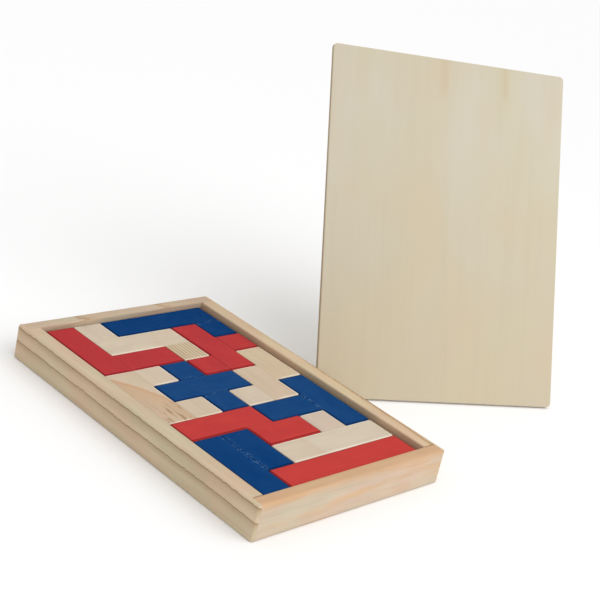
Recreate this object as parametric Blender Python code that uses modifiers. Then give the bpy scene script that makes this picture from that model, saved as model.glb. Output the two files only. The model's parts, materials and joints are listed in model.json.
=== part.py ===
"""Pentomino packing puzzle: a shallow pine tray, twelve wooden pieces that fill it, and a cover board.

The tray lies flat with its underside at z = 0 and its centre on the origin.  +X runs from the left
long rail to the right one, +Y from the near short rail to the far one, +Z up.  Each piece is glued
up from square sticks and lifts straight out of the tray.  The cover board stands on the floor
beside the right rail, leaning back.
"""

from math import cos, radians, sin

import bmesh
import bpy
from mathutils import Vector

MM = 0.001

# The grid that the pieces fill
CELL = 20 * MM
COLUMNS = 6
ROWS = 10

# The tray
WALL_GAP_X = 3 * MM          # loose space between the pieces and each long rail
WALL_GAP_Y = 1 * MM          # the same at each short rail
SIDE_RAIL_WIDTH = 10 * MM
END_RAIL_WIDTH = 8 * MM
RAIL_HEIGHT = 21.5 * MM
LIP = 2 * MM                 # what the corner notch leaves of a side rail
REBATE = 4 * MM              # how far the base board reaches under the rails
BASE_THICKNESS = 3 * MM
RAIL_ROUND = 1.1 * MM

# The pieces
PIECE_THICKNESS = 15.5 * MM
PIECE_GAP = 0.5 * MM         # between two neighbouring pieces
GLUE_LINE = 0.3 * MM         # between two sticks of one piece
STICK_ROUND = 0.45 * MM

# The cover board
LID_WIDTH = 170 * MM
LID_HEIGHT = 225 * MM
LID_THICKNESS = 3.5 * MM
LID_CORNER = 3 * MM
LID_ROUND = 0.7 * MM
LID_LEAN = radians(27)
LID_TURN = radians(-25.5)
LID_FOOT = (77 * MM, 0 * MM)   # its lower left corner on the floor

JOINT_GAP = 0.3 * MM         # between parts that touch
CUT_MARGIN = 5 * MM          # how far a cutter passes the surface that it opens

INNER_X = COLUMNS * CELL / 2 + WALL_GAP_X
INNER_Y = ROWS * CELL / 2 + WALL_GAP_Y
OUTER_X = INNER_X + SIDE_RAIL_WIDTH
OUTER_Y = INNER_Y + END_RAIL_WIDTH
REBATE_TOP = BASE_THICKNESS + JOINT_GAP

# Each piece: its colour, and its sticks from one end cell to the other.  A cell is (column, row);
# column 0 lies along the left rail and row 0 along the far rail.
PIECES = {
    "v": ("red_paint", {"long_bar": ((0, 0), (0, 2)), "short_bar": ((1, 2), (2, 2))}),
    "z": ("bare_wood", {"bar": ((1, 1), (3, 1)), "far_block": ((1, 0), (1, 0)),
                        "near_block": ((3, 2), (3, 2))}),
    "l": ("blue_paint", {"bar": ((2, 0), (5, 0)), "block": ((5, 1), (5, 1))}),
    "f": ("red_paint", {"bar": ((4, 1), (4, 3)), "right_block": ((5, 2), (5, 2)),
                        "left_block": ((3, 3), (3, 3))}),
    "u": ("bare_wood", {"bar": ((0, 3), (0, 5)), "far_block": ((1, 3), (1, 3)),
                        "near_block": ((1, 5), (1, 5))}),
    "x": ("blue_paint", {"bar": ((1, 4), (3, 4)), "far_block": ((2, 3), (2, 3)),
                         "near_block": ((2, 5), (2, 5))}),
    "w": ("bare_wood", {"far_bar": ((5, 3), (5, 4)), "near_bar": ((4, 4), (4, 5)),
                        "block": ((3, 5), (3, 5))}),
    "t": ("blue_paint", {"bar": ((5, 5), (5, 7)), "stem": ((3, 6), (4, 6))}),
    "n": ("red_paint", {"long_bar": ((0, 6), (2, 6)), "short_bar": ((2, 7), (3, 7))}),
    "p": ("blue_paint", {"long_bar": ((0, 7), (0, 9)), "short_bar": ((1, 7), (1, 8))}),
    "y": ("bare_wood", {"bar": ((2, 8), (5, 8)), "block": ((4, 7), (4, 7))}),
    "i": ("red_paint", {"bar": ((1, 9), (5, 9))}),
}

# name: base colour, roughness
FINISHES = {
    "pine": ((0.62, 0.45, 0.27, 1.0), 0.6),
    "plywood": ((0.70, 0.61, 0.45, 1.0), 0.6),
    "bare_wood": ((0.62, 0.53, 0.42, 1.0), 0.6),
    "red_paint": ((0.55, 0.04, 0.045, 1.0), 0.45),
    "blue_paint": ((0.005, 0.055, 0.19, 1.0), 0.45),
}


def clear_scene():
    """Start from an empty file without closing it."""
    for obj in list(bpy.data.objects):
        bpy.data.objects.remove(obj, do_unlink=True)


def make_material(name, colour, roughness):
    """One Principled material."""
    material = bpy.data.materials.new(name)
    material.use_nodes = True
    shader = material.node_tree.nodes["Principled BSDF"]
    shader.inputs["Base Color"].default_value = colour
    shader.inputs["Roughness"].default_value = roughness
    shader.inputs["Metallic"].default_value = 0.0
    return material


def make_collection(name):
    collection = bpy.data.collections.new(name)
    bpy.context.scene.collection.children.link(collection)
    return collection


def box(name, low, high, collection):
    """A rectangular block between two corners, with its origin at its centre."""
    low = Vector(low)
    high = Vector(high)
    bm = bmesh.new()
    bmesh.ops.create_cube(bm, size=1.0)
    bmesh.ops.scale(bm, vec=high - low, verts=bm.verts)
    mesh = bpy.data.meshes.new(name)
    bm.to_mesh(mesh)
    bm.free()
    obj = bpy.data.objects.new(name, mesh)
    obj.location = (low + high) / 2
    collection.objects.link(obj)
    return obj


def round_edges(obj, radius, segments=2, by_weight=False):
    """Ease every sharp edge, or only the edges that carry a bevel weight."""
    bevel = obj.modifiers.new("Round", "BEVEL")
    bevel.width = radius
    bevel.segments = segments
    bevel.limit_method = "WEIGHT" if by_weight else "ANGLE"
    bevel.angle_limit = radians(40)


def cut(obj, cutter, operation="DIFFERENCE"):
    """Cut a block with a guide block, which stays out of the finished part."""
    cutter.display_type = "WIRE"
    cutter.hide_render = True
    boolean = obj.modifiers.new(cutter.name, "BOOLEAN")
    boolean.operation = operation
    boolean.solver = "EXACT"
    boolean.object = cutter


def make_side_rail(name, side, parts, cutters, material):
    """A long rail.  Each end is notched for a short rail, so only a thin lip reaches the corner."""
    def span(inner, outer):
        return sorted((side * inner, side * outer))

    x_low, x_high = span(INNER_X, OUTER_X)
    rail = box(name, (x_low, -OUTER_Y, 0), (x_high, OUTER_Y, RAIL_HEIGHT), parts)
    round_edges(rail, RAIL_ROUND)
    x_low, x_high = span(INNER_X - CUT_MARGIN, OUTER_X - LIP)
    for end in (-1, 1):
        y_low, y_high = sorted((end * (INNER_Y - JOINT_GAP), end * (OUTER_Y + CUT_MARGIN)))
        notch = box(f"{name}_notch_{end}", (x_low, y_low, -CUT_MARGIN),
                    (x_high, y_high, RAIL_HEIGHT + CUT_MARGIN), cutters)
        cut(rail, notch)
    x_low, x_high = span(INNER_X - CUT_MARGIN, INNER_X + REBATE)
    reach = OUTER_Y + CUT_MARGIN
    cut(rail, box(f"{name}_rebate", (x_low, -reach, -CUT_MARGIN), (x_high, reach, REBATE_TOP), cutters))
    rail.data.materials.append(material)
    return rail


def make_end_rail(name, end, parts, cutters, material):
    """A short rail.  It runs between the lips of the long rails."""
    def span(inner, outer):
        return sorted((end * inner, end * outer))

    y_low, y_high = span(INNER_Y, OUTER_Y)
    rail = box(name, (-OUTER_X, y_low, 0), (OUTER_X, y_high, RAIL_HEIGHT), parts)
    round_edges(rail, RAIL_ROUND)
    half_length = OUTER_X - LIP - JOINT_GAP
    y_low, y_high = span(INNER_Y - CUT_MARGIN, OUTER_Y + CUT_MARGIN)
    trim = box(f"{name}_trim", (-half_length, y_low, -CUT_MARGIN),
               (half_length, y_high, RAIL_HEIGHT + CUT_MARGIN), cutters)
    cut(rail, trim, "INTERSECT")
    y_low, y_high = span(INNER_Y - CUT_MARGIN, INNER_Y + REBATE)
    reach = INNER_X + REBATE
    cut(rail, box(f"{name}_rebate", (-reach, y_low, -CUT_MARGIN), (reach, y_high, REBATE_TOP), cutters))
    rail.data.materials.append(material)
    return rail


def make_base(parts, material):
    """The thin board let into the underside of the rails."""
    half_x = INNER_X + REBATE - JOINT_GAP
    half_y = INNER_Y + REBATE - JOINT_GAP
    base = box("base_board", (-half_x, -half_y, 0), (half_x, half_y, BASE_THICKNESS), parts)
    round_edges(base, 0.3 * MM, segments=1)
    base.data.materials.append(material)
    return base


def cell_corner(column, row):
    """The lower left corner of a cell in plan: its smallest x and smallest y."""
    return (column - COLUMNS / 2) * CELL, (ROWS / 2 - 1 - row) * CELL


def make_stick(name, cells, own_cells, parts):
    """One square stick.  Its sides keep a glue line to its own piece and a gap to the others."""
    (first_column, first_row), (last_column, last_row) = cells
    x_low, y_low = cell_corner(first_column, last_row)
    x_high, y_high = cell_corner(last_column + 1, first_row - 1)

    def inset(neighbours):
        glued = any(cell in own_cells for cell in neighbours)
        return (GLUE_LINE if glued else PIECE_GAP) / 2

    columns = range(first_column, last_column + 1)
    rows = range(first_row, last_row + 1)
    x_low += inset([(first_column - 1, row) for row in rows])
    x_high -= inset([(last_column + 1, row) for row in rows])
    y_low += inset([(column, last_row + 1) for column in columns])
    y_high -= inset([(column, first_row - 1) for column in columns])
    stick = box(name, (x_low, y_low, REBATE_TOP), (x_high, y_high, REBATE_TOP + PIECE_THICKNESS), parts)
    round_edges(stick, STICK_ROUND)
    return stick


def make_piece(letter, material, sticks, parts):
    """One piece: its sticks hang on an empty at its middle, which rises along +Z."""
    own_cells = {
        (column, row)
        for (first_column, first_row), (last_column, last_row) in sticks.values()
        for column in range(first_column, last_column + 1)
        for row in range(first_row, last_row + 1)
    }
    middle_x = sum(cell_corner(*cell)[0] + CELL / 2 for cell in own_cells) / len(own_cells)
    middle_y = sum(cell_corner(*cell)[1] + CELL / 2 for cell in own_cells) / len(own_cells)
    lift = bpy.data.objects.new(f"lift_of_piece_{letter}", None)
    lift.location = (middle_x, middle_y, REBATE_TOP)
    parts.objects.link(lift)
    for stick_name, cells in sticks.items():
        stick = make_stick(f"piece_{letter}_{stick_name}", cells, own_cells, parts)
        stick.location -= lift.location
        stick.parent = lift
        stick.data.materials.append(material)


def weight_upright_edges(obj):
    """Mark the edges that run through the thickness of a board, which is its local Y."""
    bm = bmesh.new()
    bm.from_mesh(obj.data)
    weight = bm.edges.layers.float.new("bevel_weight_edge")
    for edge in bm.edges:
        along = edge.verts[0].co - edge.verts[1].co
        if abs(along.y) > abs(along.x) + abs(along.z):
            edge[weight] = 1.0
    bm.to_mesh(obj.data)
    bm.free()


def make_lid(parts, material):
    """The cover board, standing on its lower back edge and leaning back."""
    sink = LID_ROUND * (sin(LID_LEAN) + cos(LID_LEAN) - 1)
    foot = bpy.data.objects.new("lid_foot", None)
    foot.location = (*LID_FOOT, -sink)
    foot.rotation_euler = (-LID_LEAN, 0, LID_TURN)
    parts.objects.link(foot)
    lid = box("lid_board", (0, -LID_THICKNESS, 0), (LID_WIDTH, 0, LID_HEIGHT), parts)
    weight_upright_edges(lid)
    round_edges(lid, LID_CORNER, segments=5, by_weight=True)
    round_edges(lid, LID_ROUND)
    lid.parent = foot
    lid.data.materials.append(material)
    return lid


def main():
    clear_scene()
    parts = make_collection("pentomino_puzzle")
    cutters = make_collection("cutters")
    materials = {name: make_material(name, *finish) for name, finish in FINISHES.items()}
    make_side_rail("left_rail", -1, parts, cutters, materials["pine"])
    make_side_rail("right_rail", 1, parts, cutters, materials["pine"])
    make_end_rail("near_rail", -1, parts, cutters, materials["pine"])
    make_end_rail("far_rail", 1, parts, cutters, materials["pine"])
    make_base(parts, materials["plywood"])
    for letter, (finish, sticks) in PIECES.items():
        make_piece(letter, materials[finish], sticks, parts)
    make_lid(parts, materials["plywood"])
    bpy.context.view_layer.update()


main()
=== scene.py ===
"""The looks of the pentomino packing puzzle: wood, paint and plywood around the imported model."""

import json
from math import ceil, cos, pi, radians, sin, tan

import bpy
import numpy as np
from mathutils import Matrix, Vector, noise


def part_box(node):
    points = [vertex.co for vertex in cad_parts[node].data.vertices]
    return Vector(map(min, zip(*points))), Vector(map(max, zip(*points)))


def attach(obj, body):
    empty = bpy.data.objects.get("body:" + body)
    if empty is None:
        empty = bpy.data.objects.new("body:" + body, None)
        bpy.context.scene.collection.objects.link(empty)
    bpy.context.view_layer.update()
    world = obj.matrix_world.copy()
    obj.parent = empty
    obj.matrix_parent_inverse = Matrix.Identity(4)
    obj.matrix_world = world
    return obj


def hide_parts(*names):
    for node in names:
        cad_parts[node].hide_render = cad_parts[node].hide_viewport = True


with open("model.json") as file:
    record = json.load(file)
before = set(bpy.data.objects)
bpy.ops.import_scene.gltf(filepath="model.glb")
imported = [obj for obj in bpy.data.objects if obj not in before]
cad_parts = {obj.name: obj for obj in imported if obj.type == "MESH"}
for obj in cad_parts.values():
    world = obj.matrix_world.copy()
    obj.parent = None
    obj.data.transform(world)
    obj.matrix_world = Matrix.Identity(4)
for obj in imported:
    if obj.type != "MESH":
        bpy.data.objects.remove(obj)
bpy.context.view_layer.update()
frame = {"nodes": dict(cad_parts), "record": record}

MM = 0.001
X, Y, Z = 0, 1, 2

# The camera stands low beyond the near left corner and is held a little askew.
CAMERA_PLACE = (-0.5338, -0.5161, 0.3795)
CAMERA_HEADING = radians(50.33)      # from +Y towards +X
CAMERA_DIP = radians(21.24)
CAMERA_ROLL = radians(13.85)
CAMERA_LENS = 84.43
CAMERA_SENSOR = 36.0
CAMERA_SHIFT = -0.0833

# The light comes from all round, and more of it from above the near side.
SKY_STRENGTH = 0.77
SUN_STRENGTH = 1.0
SUN_PLACE = (0.1, -0.62, 0.78)
SUN_WIDTH = radians(60)
FILL_STRENGTH = 0.6
FILL_PLACE = (0.30, -0.50, 0.45)
FILL_SIZE = 0.5
FLOOR_REACH = 12.0
FLOOR_DROP = 0.2 * MM                # how far the shown floor lies below the puzzle

# Meshes
TURN = tan(pi / 8)                   # how far an eighth of a circle reaches along its edge
GRID_STEP = 2.5 * MM                 # the lattice lines of a block are at most this far apart
GRID_LEAST = 0.02 * MM               # lattice lines closer than this become one
CLOSE = 0.001 * MM                   # two coordinates this near are the same
BEYOND = 1.0                         # outside every part
SHARP_ANGLE = radians(50)            # an edge that turns by more stays crisp
LID_SHARP_ANGLE = radians(35)

# The rails
RAIL_OUTER_ROUND = 1.6 * MM          # the sanded edges all round the tray
RAIL_END_ROUND = {"left_rail": 0.9 * MM, "right_rail": 1.7 * MM}
RAIL_INNER_ROUND = 0.6 * MM          # the edges beside the pieces
RAIL_DROP = 1.2 * MM                 # the height of a rail's rounded upper edges
RAIL_FOOT = 0.4 * MM                 # and of its lower edges, which are hardly sanded
# Painted shade: how far each rail's inner wall below its top edge is darkened towards brown.
PAINTED_INNER_SHADE = {"left_rail": 0.3, "right_rail": 0.3, "near_rail": 0.3, "far_rail": 0.0}

# The sticks and their glued seams
STICK_ROUND = 1.0 * MM
STICK_DROP = 0.45 * MM               # the height of a stick's rounded edges
EDGE_HIGHLIGHT_START = 0.25                     # how far round a free edge of bare wood the painted highlight reaches full strength
NEAR_HIGHLIGHT_LOSS = 0.5                      # how much of that painted highlight the near edges lose; the left ones lose all
JOINT_ROUND = 0.10 * MM              # an edge that is glued against another, where the seam is worn
JOINT_FILLED = 0.03 * MM             # the same where paint or glue fills the seam
JOINT_FADE = 0.3 * MM                # where a glued edge gives way to a free one
GLUE_LINE = 0.3 * MM                 # the frame's gap between two glued parts
GLUE_NEAR = 0.4 * MM                 # sticks nearer than this are glued together
GLUE_LEAST = 1 * MM                  # the shortest glued stretch
GLUE_REACH = 0.13 * MM               # how far glued wood reaches into the frame's glue lines
GLUE_CLOSED = 0.15 * MM              # the same where the seam is filled
SEAM_REACH = 2 * GRID_STEP           # how far from a seam its wear reaches
SEAM_WORN = 0.3                      # a seam with more wear than this is open and has round edges
EDGE_WEAR = 0.2 * MM                 # the most that is worn off a free edge besides its rounding
WEAR_PATCH = 7 * MM                  # the size of the patches where it is

# The cover board
LID_LEAN = radians(27)
LID_TURN = radians(-25.5)
LID_CORNER = 3 * MM
LID_SHY = 0.08 * MM                  # how far the shown board stays inside the frame's
LID_PLIES = (0.26, 0.74)             # where the board's core begins and ends across its thickness
# The board's rounded edge from a face inwards, and one of the fine grooves between its plies.  Each
# point has an inset in millimetres, a share of the thickness, and how much edge and core it shows.
LID_EDGE = ((0.70, 0.0, 0.0, 0.0), (0.45, 0.015, 0.5, 0.0), (0.20, 0.06, 1.0, 0.0),
            (0.05, 0.13, 0.5, 0.0), (0.02, 0.19, 0.0, 0.0))
LID_GROOVE = ((0.02, -0.012, 0.0, 0.0), (0.09, 0.0, 0.0, 0.6), (0.03, 0.012, 0.0, 1.0))
LID_STREAKS = ((-0.006, 0.005, 0.030), (0.040, 0.004, 0.026))   # place, width and reach of two streaks
LID_TOP = 0.1125                     # half of the board's height

# The wood of each rail: the colours of early wood, of late wood and of the line that ends a year, how
# strongly the last two show, and where the rings lie.  Lengths are in metres from the rail's middle.
PINES = {
    "left_rail": {
        "pale": (202, 188, 158), "late": (166, 140, 106), "line": (128, 100, 72),
        "late_share": 1.0, "line_share": 0.6, "late_power": 2.6, "fade": (-0.007, -0.002),
        "rings": {"pith": (-0.030, -0.080), "tilt": (0.0, 0.0), "spacing": 0.00817, "phase": 0.379,
                  "wobble": 0.0014, "sawn": 0.0006}},
    "right_rail": {
        "pale": (209, 192, 160), "late": (205, 175, 136), "line": (160, 120, 78),
        "late_share": 0.6, "line_share": 0.9, "late_power": 3.0,
        "rings": {"pith": (-0.030, -0.080), "tilt": (0.024, 0.0), "spacing": 0.0080, "phase": 0.14,
                  "wobble": 0.0010, "sawn": 0.0003}},
    "near_rail": {
        "pale": (203, 190, 167), "late": (207, 166, 127), "line": (176, 128, 86),
        "late_share": 1.0, "line_share": 0.1, "late_power": 3.0, "fade": (0.002, 0.0105),
        "stain": (208, 172, 132),
        "rings": {"pith": (0.0, -0.060), "tilt": (0.0, 0.0), "spacing": 0.0160, "phase": 0.48,
                  "wobble": 0.0012, "sawn": 0.0003}},
    "far_rail": {
        "pale": (194, 179, 154), "late": (192, 154, 116), "line": (146, 112, 78),
        "late_share": 0.6, "line_share": 0.4, "late_power": 3.0,
        "rings": {"pith": (0.002, -0.022), "tilt": (0.0, 0.10), "spacing": 0.0060, "phase": 0.0,
                  "wobble": 0.0015, "sawn": 0.0003}},
}
# The rings of the bare wood, and the colours of the two paints.
BARE_RINGS = {"pith": (-0.040, -0.090), "tilt": (0.0, -0.21), "spacing": 0.0240, "phase": 0.51,
              "wobble": 0.0018, "sawn": 0.0003}
# A paint's edge colour is painted shade along the rounded edges of its pieces.
PAINTS = {
    "red_paint": {"full": (192, 63, 59), "worn": (176, 53, 56), "edge": (98, 10, 18),
                  "chip": (214, 120, 112)},
    "blue_paint": {"full": (0, 56, 111), "worn": (20, 67, 119), "edge": (2, 20, 54),
                   "chip": (104, 144, 184)},
}

# How each bare stick looks: tone makes it tan, tint makes it pink, figure shows its growth rings,
# and comb draws fine straight lines along it.  A stick with more figure than FIGURED keeps its place
# in the ring pattern; the others are cut from wood of their own.
FIGURED = 0.5
COMB_PITCH = 0.00245                 # metres from one fine line to the next
COMB_START = 0.0012
BARE_STICKS = {
    "piece_z_bar": {"tone": 0.2, "tint": 0.10, "figure": 0.10},
    "piece_z_far_block": {"tone": 0.20, "tint": 0.25, "figure": 0.05},
    "piece_z_near_block": {"tone": 0.90, "tint": 0.0, "comb": 1.0},
    "piece_u_bar": {"tone": 0.65, "tint": 0.25, "figure": 1.0},
    "piece_u_far_block": {"tone": 0.40, "tint": 0.30, "figure": 0.05},
    "piece_u_near_block": {"tone": 0.60, "tint": 0.35, "figure": 0.05},
    "piece_w_far_bar": {"tone": 0.85, "tint": 0.0, "figure": 0.05},
    "piece_w_near_bar": {"tone": 0.90, "tint": 0.40, "figure": 0.0},
    "piece_w_block": {"tone": 0.25, "tint": 0.30, "figure": 0.05},
    "piece_y_bar": {"tone": -0.2, "tint": 0.0, "figure": 0.20},
    "piece_y_block": {"tone": 0.20, "tint": 0.95, "figure": 0.0},
}
# How far the paint of each piece goes towards its second tone, and how worn it is along the seams. The
# tones are partly painted shade that darkens the far pieces; the blue X and T get the paler blue.
PAINTED = {"v": (1.0, 0.25), "f": (0.8, 0.35), "n": (0.3, 0.15), "i": (0.0, 0.1),
           "l": (0.0, 0.8), "x": (0.9, 0.5), "t": (0.8, 0.9), "p": (0.2, 1.0)}
# How the pieces have settled: right and far from their squares and how much thicker they are, all in
# millimetres, and their turn in degrees.
SETTLED = {
    "v": (0.30, -0.05, 0.15, 0.05), "z": (0.0, 0.05, -0.05, -0.05), "l": (0.05, 0.10, 0.0, 0.04),
    "f": (0.10, 0.0, 0.20, -0.08), "u": (-0.10, 0.0, 0.0, 0.0), "x": (-0.05, -0.05, 0.10, 0.06),
    "w": (0.10, 0.05, -0.05, 0.0), "t": (0.10, -0.05, 0.05, -0.05), "n": (-0.05, 0.15, 0.25, 0.0),
    "p": (-0.10, 0.0, 0.05, 0.04), "y": (0.05, -0.15, -0.10, -0.05), "i": (0.0, -0.10, 0.10, 0.0),
}


# ---------------------------------------------------------------- meshes

def grid_lines(low, high, round_low, round_high, extra=()):
    """Coordinates along one axis: close together in the rounded edges, at most a step apart between."""
    wanted = {high, low + round_low, low + round_low * (1 - TURN),
              high - round_high, high - round_high * (1 - TURN)}
    wanted |= {line for line in extra if low < line < high}
    lines = [low]
    for line in sorted(wanted):
        width = line - lines[-1]
        if width > GRID_LEAST:
            lines += list(np.linspace(lines[-1], line, ceil(width / GRID_STEP) + 1)[1:])
    lines[-1] = high
    return np.array(lines)


def lattice_surface(lines, cuts=()):
    """The closed surface of a block of lattice cells, less the cells whose middles lie in a cut box."""
    middles = np.meshgrid(*[(axis[1:] + axis[:-1]) / 2 for axis in lines], indexing="ij")
    solid = np.ones(middles[0].shape, bool)
    for low, high in cuts:
        inside = [(low[a] < middles[a]) & (middles[a] < high[a]) for a in (X, Y, Z)]
        solid &= ~(inside[X] & inside[Y] & inside[Z])
    solid = np.pad(solid, 1)
    shape = [len(axis) for axis in lines]
    quads = []
    for axis in (X, Y, Z):
        for side in (0, 1):
            bare = solid & ~np.roll(solid, 1 - 2 * side, axis)
            cells = np.argwhere(bare[1:-1, 1:-1, 1:-1])
            ring = []
            for u, v in ((0, 0), (1, 0), (1, 1), (0, 1)):
                corner = cells.copy()
                corner[:, axis] += side
                corner[:, (axis + 1) % 3] += u
                corner[:, (axis + 2) % 3] += v
                ring.append(np.ravel_multi_index(corner.T, shape))
            quads.append(np.array(ring if side else ring[::-1]).T)
    used, faces = np.unique(np.concatenate(quads), return_inverse=True)
    places = np.unravel_index(used, shape)
    points = np.array([lines[a][places[a]] for a in (X, Y, Z)]).T
    return points, faces.reshape(-1, 4).tolist()


def round_off(points, low, high, round_low, round_high):
    """Pulls the points of a block onto its rounded edges, and says how far into an edge each one is."""
    core = np.clip(points, low + round_low, high - round_high)
    offset = points - core
    reach = offset / np.where(offset < 0, round_low, round_high)
    length = np.linalg.norm(reach, axis=1)
    pulled = core + offset / np.maximum(length, 1)[:, None]
    return pulled, np.clip((length - 1) / TURN, 0, 1)


def ripple(points, size, seed):
    """Smooth noise with patches of about the given size, one value from about -1 to 1 for each point."""
    shift = Vector((seed * 7.31, seed * 3.17, seed * 5.73))
    return np.array([noise.noise(Vector(p) / size + shift) for p in points])


def wear_edges(points, edge, middle, seed):
    """Takes a little more off the rounded edges in some places than in others."""
    inward = middle - points
    inward /= np.linalg.norm(inward, axis=1)[:, None]
    amount = edge * np.clip(0.3 + ripple(points, WEAR_PATCH, seed), 0, 1) * EDGE_WEAR
    return points + inward * amount[:, None]


def fibre_axes(points, middle, along, offset=(0, 0, 0)):
    """Where each point lies in its own wood: along the fibre, across it, and up."""
    local = points - middle
    return np.array([local[:, along], local[:, 1 - along], local[:, Z]]).T + offset


def make_piece(name, blocks, material, body, nodes, sharp=SHARP_ANGLE):
    """One shown object from blocks.  A block has points, faces, and any other values for its points.

    Edges that turn by more than the angle sharp stay crisp.
    """
    start = 0
    faces = []
    for block in blocks:
        faces += [[corner + start for corner in face] for face in block["faces"]]
        start += len(block["points"])
    mesh = bpy.data.meshes.new(name)
    mesh.from_pydata(np.concatenate([b["points"] for b in blocks]).tolist(), [], faces)
    for key in blocks[0]:
        if key in ("points", "faces"):
            continue
        is_vector = key == "grain"
        shape = (3,) if is_vector else ()
        filled = [np.broadcast_to(b[key], (len(b["points"]), *shape)) for b in blocks]
        attribute = mesh.attributes.new(key, "FLOAT_VECTOR" if is_vector else "FLOAT", "POINT")
        attribute.data.foreach_set("vector" if is_vector else "value", np.ravel(np.concatenate(filled)))
    mesh.shade_smooth()
    mesh.set_sharp_from_angle(angle=sharp)
    mesh.materials.append(material)
    piece = bpy.data.objects.new(name, mesh)
    bpy.context.scene.collection.objects.link(piece)
    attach(piece, body)
    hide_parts(*nodes)


# ---------------------------------------------------------------- materials

def rgb(red, green, blue):
    """A colour as it shows on a screen, turned into linear light."""
    def linear(value):
        value /= 255
        return value / 12.92 if value <= 0.04045 else ((value + 0.055) / 1.055) ** 2.4
    return (linear(red), linear(green), linear(blue), 1.0)


class Graph:
    """Short ways to write a material's nodes."""

    def __init__(self, name):
        self.material = bpy.data.materials.new(name)
        self.material.use_nodes = True
        self.tree = self.material.node_tree
        self.shader = self.tree.nodes["Principled BSDF"]

    def feed(self, socket, value):
        if isinstance(value, bpy.types.NodeSocket):
            self.tree.links.new(value, socket)
        else:
            socket.default_value = value

    def node(self, kind, inputs=(), **settings):
        made = self.tree.nodes.new(kind)
        for key, value in settings.items():
            setattr(made, key, value)
        for key, value in dict(inputs).items():
            self.feed(made.inputs[key], value)
        return made

    def math(self, operation, *values):
        made = self.node("ShaderNodeMath", operation=operation)
        for socket, value in zip(made.inputs, values):
            self.feed(socket, value)
        return made.outputs[0]

    def product(self, *values):
        total = values[0]
        for value in values[1:]:
            total = self.math("MULTIPLY", total, value)
        return total

    def attribute(self, name, output="Fac"):
        return self.node("ShaderNodeAttribute", attribute_name=name).outputs[output]

    def parts(self, vector):
        return self.node("ShaderNodeSeparateXYZ", {0: vector}).outputs

    def noise(self, vector, waves, detail=2.0, roughness=0.5):
        """Noise with its own number of waves per metre along each axis, from 0 to 1."""
        scaled = self.node("ShaderNodeVectorMath", {0: vector, 1: waves}, operation="MULTIPLY").outputs[0]
        inputs = {"Vector": scaled, "Scale": 1.0, "Detail": detail, "Roughness": roughness}
        return self.node("ShaderNodeTexNoise", inputs).outputs["Fac"]

    def sway(self, vector, waves, size):
        """Noise about zero, of the given size."""
        return self.product(self.math("SUBTRACT", self.noise(vector, waves), 0.5), 2 * size)

    def remap(self, value, low, high, to_low=0.0, to_high=1.0):
        """A smooth step between two values."""
        inputs = {"Value": value, "From Min": low, "From Max": high, "To Min": to_low, "To Max": to_high}
        settings = {"interpolation_type": "SMOOTHSTEP", "clamp": True}
        return self.node("ShaderNodeMapRange", inputs, **settings).outputs[0]

    def mix(self, share, first, second):
        made = self.node("ShaderNodeMix", data_type="RGBA", clamp_factor=True)
        for socket, value in zip((made.inputs[0], made.inputs[6], made.inputs[7]), (share, first, second)):
            self.feed(socket, value)
        return made.outputs[2]

    def shade(self, colour, share, depth):
        """Darkens or lightens a colour by a share of the given depth."""
        inputs = {"Color": colour, "Value": self.math("ADD", self.product(share, depth), 1.0)}
        return self.node("ShaderNodeHueSaturation", inputs).outputs[0]

    def bump(self, height, strength, distance):
        inputs = {"Height": height, "Strength": strength, "Distance": distance}
        self.feed(self.shader.inputs["Normal"], self.node("ShaderNodeBump", inputs).outputs[0])

    def finish(self, colour, roughness, specular):
        self.feed(self.shader.inputs["Base Color"], colour)
        self.feed(self.shader.inputs["Roughness"], roughness)
        self.shader.inputs["Specular IOR Level"].default_value = specular
        return self.material


def growth_rings(graph, grain, pith, tilt, spacing, phase, wobble, sawn):
    """Rings around a pith that runs nearly along the fibre.

    tilt is the pith's slope across and up, wobble the size of the rings' waves, and sawn that of their
    short ragged steps along the fibre.

    Gives the age of the wood within its ring, from 0 to 1 at the dark end of the year, and a number
    that differs from ring to ring.
    """
    along, across, up = graph.parts(grain)
    drift = graph.math("ADD", graph.sway(grain, (11.0, 30.0, 30.0), wobble),
                       graph.sway(grain, (60.0, 60.0, 60.0), wobble * 0.3))
    drift = graph.math("ADD", drift, graph.sway(grain, (420.0, 90.0, 90.0), sawn))
    sides = []
    for place, start, slope in ((across, pith[0], tilt[0]), (up, pith[1], tilt[1])):
        side = graph.math("SUBTRACT", place, graph.math("ADD", graph.product(along, slope), start))
        sides.append(graph.math("MULTIPLY", side, side))
    radius = graph.math("ADD", graph.math("SQRT", graph.math("ADD", *sides)), drift)
    years = graph.math("SUBTRACT", graph.math("DIVIDE", radius, spacing), phase)
    number = graph.node("ShaderNodeTexWhiteNoise", {"W": graph.math("FLOOR", years)},
                        noise_dimensions="1D").outputs["Value"]
    return graph.math("FRACT", years), number


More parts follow.
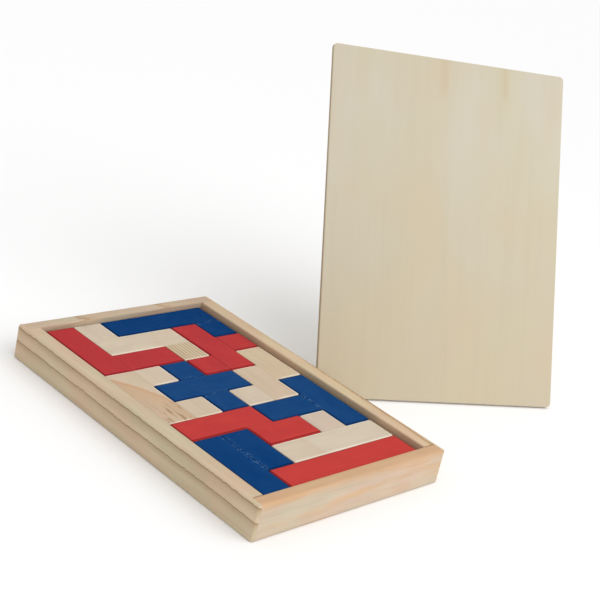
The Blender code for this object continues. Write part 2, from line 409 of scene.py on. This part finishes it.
def make_pine(name, pale, late, line, rings, late_share, line_share, late_power, fade=None, stain=None):
    """Sanded pine: pale early wood that deepens to a thin dark line at the end of each year.

    fade gives two heights between which the rings become faint downwards, and stain the colour of
    soft streaks of resin.
    """
    graph = Graph(name)
    grain = graph.attribute("grain", "Vector")
    age, number = growth_rings(graph, grain, **rings)
    ending = graph.remap(age, 0.975, 1.0, 1.0, 0.0)
    strength = graph.remap(number, 0.0, 1.0, 0.7, 1.0)          # some years are darker than others
    if fade:
        strength = graph.product(strength, graph.remap(graph.parts(grain)[Z], *fade, 0.15, 1.0))
    deep = graph.product(graph.math("POWER", age, late_power), ending, strength, late_share)
    thin = graph.product(graph.remap(age, 0.88, 0.96), ending, strength, line_share)
    fibres = graph.noise(grain, (38.0, 1000.0, 1000.0), detail=3.0, roughness=0.6)
    threads = graph.noise(grain, (25.0, 330.0, 330.0), detail=2.0)
    patches = graph.noise(grain, (22.0, 90.0, 90.0), detail=2.0)
    blush = graph.noise(grain, (31.0, 75.0, 60.0), detail=1.0)
    pinker = (pale[0] + 4, pale[1] - 7, pale[2] - 4)
    colour = graph.mix(graph.remap(blush, 0.3, 0.7), rgb(*pale), rgb(*pinker))
    if stain:
        resin = graph.remap(graph.noise(grain, (17.0, 70.0, 130.0)), 0.48, 0.68)
        colour = graph.mix(graph.product(resin, 0.7), colour, rgb(*stain))
    colour = graph.mix(deep, colour, rgb(*late))
    colour = graph.mix(thin, colour, rgb(*line))
    colour = graph.shade(colour, graph.remap(patches, 0.3, 0.7, -0.5, 0.5), 0.07)
    colour = graph.shade(colour, graph.remap(threads, 0.35, 0.7, 0.0, 1.0), -0.06)
    colour = graph.shade(colour, graph.remap(fibres, 0.5, 0.8, 0.0, 1.0), -0.08)
    # Painted shade on the rails' inner walls, below their top edges.
    colour = graph.mix(graph.attribute("inner"), colour, rgb(150, 100, 62))
    graph.bump(graph.math("ADD", fibres, graph.product(deep, 0.8)), 0.3, 0.0002)
    return graph.finish(colour, 0.65, 0.08)


def make_bare_wood():
    """Smooth pale hardwood.  Attributes of each stick make it tan, pink, figured or finely lined, and give
    its free edges a painted highlight.
    """
    graph = Graph("bare_wood")
    grain = graph.attribute("grain", "Vector")
    age = growth_rings(graph, grain, **BARE_RINGS)[0]
    along, across = graph.parts(grain)[:2]
    ending = graph.remap(age, 0.97, 1.0, 1.0, 0.0)
    late = graph.product(graph.math("POWER", age, 1.5), ending, graph.attribute("figure"))
    thin = graph.product(graph.remap(age, 0.93, 0.98), ending, graph.attribute("figure"))
    knots = graph.product(graph.remap(graph.noise(grain, (75.0, 560.0, 560.0)), 0.52, 0.64),
                          graph.remap(along, -0.006, -0.018), graph.attribute("figure"))
    fibres = graph.noise(grain, (30.0, 900.0, 900.0), detail=3.0, roughness=0.6)
    streaks = graph.noise(grain, (16.0, 240.0, 240.0), detail=2.0)
    patches = graph.noise(grain, (40.0, 110.0, 110.0), detail=2.0)
    tooth = graph.math("FRACT", graph.math("DIVIDE", graph.math("ADD", across, COMB_START), COMB_PITCH))
    from_line = graph.math("ABSOLUTE", graph.math("SUBTRACT", tooth, 0.5))
    comb = graph.product(graph.remap(from_line, 0.1, 0.3, 1.0, 0.0),
                         graph.attribute("comb"), graph.remap(streaks, 0.3, 0.6, 0.55, 1.0))
    colour = graph.mix(graph.attribute("tone"), rgb(206, 193, 173), rgb(201, 179, 148))
    colour = graph.mix(graph.attribute("tint"), colour, rgb(200, 180, 163))
    colour = graph.mix(graph.product(late, 0.85), colour, rgb(196, 162, 128))
    colour = graph.mix(graph.product(thin, 0.5), colour, rgb(196, 146, 108))
    colour = graph.mix(graph.product(knots, 0.75), colour, rgb(156, 122, 90))
    colour = graph.mix(graph.product(comb, 0.75), colour, rgb(150, 130, 98))
    colour = graph.shade(colour, graph.remap(patches, 0.3, 0.7, -0.5, 0.5), 0.05)
    colour = graph.shade(colour, graph.remap(streaks, 0.5, 0.75), -0.06)
    colour = graph.shade(colour, graph.remap(fibres, 0.5, 0.8), -0.06)
    # Painted highlight along the free edges, broken into patches.
    painted_edge_shading = graph.product(graph.attribute("painted_edge_shading"), graph.remap(patches, 0.3, 0.6, 0.6, 0.95))
    colour = graph.mix(painted_edge_shading, colour, rgb(250, 243, 228))
    graph.bump(fibres, 0.2, 0.0002)
    return graph.finish(colour, 0.6, 0.08)


def make_paint(name, full, worn, edge, chip):
    """Satin paint on a stick: fibre shows through, painted shade darkens its edges, and worn seams are
    chipped.

    full and worn are its two tones, edge the colour of the painted shade along the edges, and chip what
    shows at a seam.
    """
    graph = Graph(name)
    grain = graph.attribute("grain", "Vector")
    wear = graph.attribute("wear")
    near_seam = graph.attribute("seam")
    fibres = graph.noise(grain, (45.0, 700.0, 700.0), detail=3.0, roughness=0.6)
    cloud = graph.noise(grain, (50.0, 90.0, 90.0), detail=2.0)
    blisters = graph.noise(grain, (260.0, 300.0, 300.0), detail=3.0, roughness=0.65)
    flecks = graph.noise(grain, (650.0, 900.0, 900.0), detail=2.0)
    # The tone is partly painted shade, darker on the far pieces.
    tone_with_painted_light = graph.math("ADD", graph.attribute("tone"), graph.remap(cloud, 0.3, 0.7, -0.2, 0.2))
    colour = graph.mix(tone_with_painted_light, rgb(*full), rgb(*worn))
    colour = graph.shade(colour, graph.remap(fibres, 0.5, 0.8), -0.05)
    scuff = graph.product(graph.remap(blisters, 0.56, 0.70), graph.remap(near_seam, 0.1, 0.8), wear)
    colour = graph.mix(graph.product(scuff, 0.35), colour, rgb(*chip))
    bare = graph.product(graph.remap(flecks, 0.56, 0.66), graph.remap(near_seam, 0.6, 0.95), wear, wear)
    colour = graph.mix(graph.product(bare, 0.8), colour, rgb(*chip))
    # Painted shade: the rounded edges are darkened towards the edge colour.
    painted_edge_shading = graph.math("POWER", graph.attribute("edge"), 0.7)
    colour = graph.mix(graph.product(painted_edge_shading, 0.9), colour, rgb(*edge))
    lumps = graph.product(blisters, graph.remap(near_seam, 0.0, 0.8), wear, 1.5)
    graph.bump(graph.math("ADD", graph.math("ADD", fibres, cloud), lumps), 0.3, 0.0003)
    return graph.finish(colour, graph.remap(blisters, 0.3, 0.7, 0.5, 0.65), 0.02)


def make_plywood():
    """A pale rotary-cut face veneer with soft streaks, and a darker core at the board's edge."""
    graph = Graph("plywood")
    grain = graph.attribute("grain", "Vector")
    along, across = graph.parts(grain)[:2]
    streaks = graph.noise(grain, (9.0, 150.0, 150.0), detail=4.0, roughness=0.6)
    fibres = graph.noise(grain, (30.0, 900.0, 900.0), detail=3.0, roughness=0.6)
    cloud = graph.noise(grain, (10.0, 20.0, 20.0), detail=2.0)
    blush = graph.noise(grain, (14.0, 30.0, 30.0), detail=1.0)
    colour = graph.mix(graph.remap(along, -0.11, 0.10), rgb(196, 184, 160), rgb(200, 193, 175))
    colour = graph.mix(graph.remap(cloud, 0.35, 0.65, 0.0, 0.6), colour, rgb(197, 186, 158))
    colour = graph.mix(graph.remap(blush, 0.45, 0.7, 0.0, 0.4), colour, rgb(200, 183, 158))
    colour = graph.shade(colour, graph.remap(streaks, 0.4, 0.75), -0.025)
    colour = graph.shade(colour, graph.remap(fibres, 0.5, 0.8), -0.02)
    for middle, width, reach in LID_STREAKS:
        side = graph.math("ABSOLUTE", graph.math("SUBTRACT", across, middle))
        streak = graph.product(graph.remap(side, 0.0, width, 1.0, 0.0),
                               graph.remap(along, LID_TOP - reach, LID_TOP - reach * 0.6),
                               graph.remap(streaks, 0.3, 0.6, 0.5, 1.0))
        colour = graph.mix(graph.product(streak, 0.45), colour, rgb(190, 168, 134))
    colour = graph.mix(graph.product(graph.attribute("core"), 0.7), colour, rgb(150, 122, 88))
    colour = graph.mix(graph.product(graph.attribute("edge"), 0.3), colour, rgb(226, 214, 190))
    graph.bump(fibres, 0.12, 0.0002)
    return graph.finish(colour, 0.6, 0.08)


# ---------------------------------------------------------------- the tray

def corners(node):
    """The lowest and the highest corner of a node of the frame."""
    low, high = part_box(node)
    return np.array(low), np.array(high)


def rail_block(node, ends, inner, cuts, along, seed):
    """A rail with softly sanded edges.

    ends is how round its two ends are, inner is the side that faces the pieces, 0 or 1, and along is the
    axis that it runs along.  The short rails reach into the glue lines at their ends.
    """
    low, high = corners(node)
    across = 1 - along
    rounds = np.zeros((2, 3))
    rounds[:, along] = ends
    rounds[:, Z] = RAIL_FOOT, RAIL_DROP
    rounds[1 - inner, across] = RAIL_OUTER_ROUND
    rounds[inner, across] = RAIL_INNER_ROUND
    if ends < RAIL_INNER_ROUND:
        low[along] -= GLUE_REACH
        high[along] += GLUE_REACH
    lines = []
    for axis in (X, Y, Z):
        stops = {limit[axis] for cut in cuts for limit in cut}
        lines.append(grid_lines(low[axis], high[axis], *rounds[:, axis], stops))
    points, faces = lattice_surface(lines, cuts)
    wall = (high if inner else low)[across]
    below_edge = points[:, Z] < high[Z] - RAIL_DROP * 0.9
    # The inner wall below the top edge is marked for painted shade.
    painted_shade_wall = (np.abs(points[:, across] - wall) < CLOSE) & below_edge
    points, edge = round_off(points, low, high, *rounds)
    middle = (low + high) / 2
    points = wear_edges(points, edge, middle, seed)
    return {"points": points, "faces": faces, "inner": painted_shade_wall * PAINTED_INNER_SHADE[node],
            "grain": fibre_axes(points, middle, along)}


def make_tray(pines, plywood):
    """The long rails are notched for the short ones, and all four are rebated for the base board."""
    base_low, base_high = corners("base_board")
    end_reach = corners("near_rail")[1][X]
    shoulder = corners("far_rail")[0][Y] - GLUE_LINE
    for name, side in (("left", -1), ("right", 1)):
        board_x = sorted((0, side * base_high[X]))
        cuts = [((board_x[0], -BEYOND, -BEYOND), (board_x[1], BEYOND, base_high[Z]))]
        notch_x = sorted((0, side * end_reach))
        for end in (-1, 1):
            notch_y = sorted((end * shoulder, end * BEYOND))
            cuts.append(((notch_x[0], notch_y[0], -BEYOND), (notch_x[1], notch_y[1], BEYOND)))
        node = name + "_rail"
        block = rail_block(node, RAIL_END_ROUND[node], int(side < 0), cuts, Y, 1 + side)
        make_piece("rail_" + name, [block], pines[node], "tray", [node])
    for name, side in (("near", -1), ("far", 1)):
        board_y = sorted((0, side * base_high[Y]))
        cuts = [((base_low[X], board_y[0], -BEYOND), (base_high[X], board_y[1], base_high[Z]))]
        node = name + "_rail"
        block = rail_block(node, JOINT_ROUND, int(side < 0), cuts, X, 6 + side)
        make_piece("rail_" + name, [block], pines[node], "tray", [node])
    thin = np.full(3, JOINT_ROUND)
    lines = [grid_lines(base_low[a], base_high[a], JOINT_ROUND, JOINT_ROUND) for a in (X, Y, Z)]
    points, faces = lattice_surface(lines)
    points = round_off(points, base_low, base_high, thin, thin)[0]
    block = {"points": points, "faces": faces, "edge": 0.0, "core": 0.0,
             "grain": fibre_axes(points, (base_low + base_high) / 2, Y)}
    make_piece("base_ply", [block], plywood, "tray", ["base_board"])


# ---------------------------------------------------------------- the pieces

def glued_spans(node, mates, axis, side):
    """The stretches along one side of a stick where its mates are glued on."""
    low, high = corners(node)
    cross = 1 - axis
    spans = []
    for mate in mates:
        mate_low, mate_high = corners(mate)
        gap = mate_low[axis] - high[axis] if side else low[axis] - mate_high[axis]
        start = max(low[cross], mate_low[cross])
        end = min(high[cross], mate_high[cross])
        if abs(gap) < GLUE_NEAR and end - start > GLUE_LEAST:
            spans.append((start, end))
    return spans


def stick_block(node, mates, looks, rng):
    """One stick of a piece.  It is rounded where it is free and crisp where a mate is glued on."""
    low, high = corners(node)
    is_worn = looks.get("wear", 0) > SEAM_WORN
    joint = JOINT_ROUND if is_worn else JOINT_FILLED
    glue = GLUE_REACH if is_worn else GLUE_CLOSED
    extra = [set(), set(), set()]
    spans = []
    for axis in (X, Y):
        for side, wall in ((0, low[axis]), (1, high[axis])):
            for start, end in glued_spans(node, mates, axis, side):
                spans.append((axis, side, wall, start, end))
                inward = 1 - 2 * side
                extra[axis] |= {wall + inward * joint, wall + inward * joint * (1 - TURN)}
                extra[1 - axis] |= {start, start + JOINT_FADE, end - JOINT_FADE, end}
    lines = []
    for axis, reach in ((X, STICK_ROUND), (Y, STICK_ROUND), (Z, STICK_DROP)):
        lines.append(grid_lines(low[axis], high[axis], reach, reach, extra[axis]))
    points, faces = lattice_surface(lines)
    rounds = np.broadcast_to((STICK_ROUND, STICK_ROUND, STICK_DROP), (2, len(points), 3)).copy()
    seam = np.zeros(len(points))
    reach = np.zeros((len(points), 3))
    for axis, side, wall, start, end in spans:
        place = points[:, 1 - axis]
        at_span = (start - CLOSE < place) & (place < end + CLOSE)
        at_start = start > low[1 - axis] + CLOSE
        at_end = end < high[1 - axis] - CLOSE
        crisp = start + at_start * JOINT_FADE - CLOSE < place
        crisp &= place < end - at_end * JOINT_FADE + CLOSE
        rounds[side, crisp, axis] = joint
        away = np.abs(points[:, axis] - wall)
        seam = np.maximum(seam, at_span * np.clip(1 - away / SEAM_REACH, 0, 1))
        reach[at_span & (away < CLOSE), axis] = glue * (2 * side - 1)
    points, edge = round_off(points, low, high, *rounds)
    middle = (low + high) / 2
    points = wear_edges(points, edge * (1 - seam), middle, rng.uniform(0, 9)) + reach
    size = high - low
    along = X if size[X] > size[Y] * 1.2 else Y
    offset = (rng.uniform(-5, 5), 0, 0) if looks.get("figure", 0) < FIGURED else (0, 0, 0)
    if not is_worn:
        edge = edge * (1 - seam)
    # Painted highlight: the free edges of bare wood turn pale, less on the near edges and not at all on
    # the left ones.
    left, near = np.clip((low + STICK_ROUND - points) / (STICK_ROUND * TURN), 0, 1).T[:Z]
    painted_edge_shading = np.clip(edge / EDGE_HIGHLIGHT_START, 0, 1) * (1 - seam) * (1 - np.maximum(left, near * NEAR_HIGHLIGHT_LOSS))
    block = {"points": points, "faces": faces, "edge": edge, "seam": seam, "painted_edge_shading": painted_edge_shading,
             "grain": fibre_axes(points, middle, along, offset)}
    for key in ("tone", "tint", "figure", "comb", "wear"):
        block[key] = looks.get(key, 0.0)
    return block


def settle(blocks, right, far, up, turn):
    """Moves a whole piece a little off its squares, and makes it slightly thicker or thinner."""
    everything = np.concatenate([block["points"] for block in blocks])
    low, high = everything.min(0), everything.max(0)
    middle = (low + high) / 2
    c, s = cos(radians(turn)), sin(radians(turn))
    for block in blocks:
        x, y, z = (block["points"] - middle).T
        height = (block["points"][:, Z] - low[Z]) / (high[Z] - low[Z])
        moved = (x * c - y * s + right * MM, x * s + y * c + far * MM, z + height * up * MM)
        block["points"] = np.array(moved).T + middle


def make_pieces(materials):
    """The twelve pentominoes, each from the sticks that the frame puts on its body."""
    record = frame["record"]
    slots = {part["node"]: part["material_slot"] for part in record["subparts"]}
    rng = np.random.default_rng(12)
    for body, nodes in record["behaviour"]["bodies"].items():
        if not body.startswith("piece_"):
            continue
        letter = body[-1]
        slot = slots[nodes[0]]
        blocks = []
        for node in nodes:
            tone, wear = PAINTED.get(letter, (0, 0))
            looks = BARE_STICKS.get(node, {"tone": tone, "wear": wear})
            blocks.append(stick_block(node, [other for other in nodes if other != node], looks, rng))
        settle(blocks, *SETTLED[letter])
        make_piece("pentomino_" + letter, blocks, materials[slot], body, nodes)


# ---------------------------------------------------------------- the cover board

def rounded_outline(low, high, corner, inset, segments=8):
    """Points around a rectangle with round corners, pulled in by inset."""
    outline = []
    for sx, sz, start in ((1, 1, 0), (-1, 1, 90), (-1, -1, 180), (1, -1, 270)):
        x = (high[X] if sx > 0 else low[X]) - sx * corner
        z = (high[Z] if sz > 0 else low[Z]) - sz * corner
        for step in range(segments + 1):
            angle = radians(start + 90 * step / segments)
            outline.append((x + (corner - inset) * cos(angle), z + (corner - inset) * sin(angle)))
    return outline


def make_lid(plywood):
    """The cover board: round corners, eased edges, and three plies that show along the edge."""
    lean = np.array(Matrix.Rotation(LID_TURN, 3, "Z") @ Matrix.Rotation(-LID_LEAN, 3, "X"))
    vertices = np.array([tuple(v.co) for v in frame["nodes"]["lid_board"].data.vertices]) @ lean
    low, high = vertices.min(0), vertices.max(0)
    thickness = high[Y] - low[Y]
    front = list(LID_EDGE)
    front += [(inset, LID_PLIES[0] + depth, edge, core) for inset, depth, edge, core in LID_GROOVE]
    back = [(inset, LID_PLIES[1] - depth, edge, core) for inset, depth, edge, core in LID_GROOVE[::-1]]
    back += [(inset, 1 - depth, edge, core) for inset, depth, edge, core in LID_EDGE[::-1]]
    profile = front + back
    points, edges, cores = [], [], []
    for inset, depth, edge, core in profile:
        for x, z in rounded_outline(low, high, LID_CORNER, inset * MM + LID_SHY):
            points.append((x, low[Y] + depth * thickness, z))
            edges.append(edge)
            cores.append(core)
    count = len(points) // len(profile)
    faces = [list(range(count)), list(range(len(points) - count, len(points)))[::-1]]
    for ring in range(len(profile) - 1):
        for step in range(count):
            here, there = ring * count + step, ring * count + (step + 1) % count
            faces.append([there, here, here + count, there + count])
    points = np.array(points)
    local = points - (low + high) / 2
    block = {"points": points @ lean.T, "faces": faces, "edge": np.array(edges), "core": np.array(cores),
             "grain": np.array([local[:, Z], local[:, X], local[:, Y]]).T}
    make_piece("cover_ply", [block], plywood, "lid", ["lid_board"], LID_SHARP_ANGLE)


# ---------------------------------------------------------------- stage

def make_floor():
    mesh = bpy.data.meshes.new("floor")
    signs = ((-1, -1), (1, -1), (1, 1), (-1, 1))
    mesh.from_pydata([(x * FLOOR_REACH, y * FLOOR_REACH, 0) for x, y in signs], [], [(0, 1, 2, 3)])
    mesh.materials.append(Graph("floor").finish((0.96, 0.96, 0.96, 1.0), 0.9, 0.0))
    floor = bpy.data.objects.new("floor", mesh)
    bpy.context.scene.collection.objects.link(floor)
    floor.location.z = -FLOOR_DROP


def make_lamp(name, kind, energy, place, **settings):
    """A lamp that shines from its place towards the origin."""
    light = bpy.data.lights.new(name, kind)
    light.energy = energy
    for key, value in settings.items():
        setattr(light, key, value)
    lamp = bpy.data.objects.new(name, light)
    lamp.location = place
    lamp.rotation_euler = Vector(place).to_track_quat("Z", "Y").to_euler()
    bpy.context.scene.collection.objects.link(lamp)


def make_light():
    world = bpy.data.worlds.new("studio")
    world.use_nodes = True
    sky = world.node_tree.nodes["Background"].inputs
    sky["Color"].default_value = (1.0, 1.0, 1.0, 1.0)
    sky["Strength"].default_value = SKY_STRENGTH
    bpy.context.scene.world = world
    make_lamp("key", "SUN", SUN_STRENGTH, SUN_PLACE, angle=SUN_WIDTH)
    make_lamp("fill", "AREA", FILL_STRENGTH, FILL_PLACE, size=FILL_SIZE)


def make_camera():
    lens = bpy.data.cameras.new("camera")
    lens.lens = CAMERA_LENS
    lens.sensor_width = CAMERA_SENSOR
    lens.shift_x = CAMERA_SHIFT
    camera = bpy.data.objects.new("camera", lens)
    heading = Matrix.Rotation(-CAMERA_HEADING, 3, "Z") @ Matrix.Rotation(pi / 2 - CAMERA_DIP, 3, "X")
    camera.rotation_euler = (heading @ Matrix.Rotation(CAMERA_ROLL, 3, "Z")).to_euler()
    camera.location = CAMERA_PLACE
    bpy.context.scene.collection.objects.link(camera)
    bpy.context.scene.camera = camera


def main():
    bpy.context.scene.view_settings.view_transform = "Standard"
    make_camera()
    make_floor()
    make_light()
    pines = {node: make_pine("pine_" + node[:-len("_rail")], **looks) for node, looks in PINES.items()}
    plywood = make_plywood()
    materials = {"bare_wood": make_bare_wood()}
    materials |= {name: make_paint(name, **colours) for name, colours in PAINTS.items()}
    make_tray(pines, plywood)
    make_pieces(materials)
    make_lid(plywood)


main()
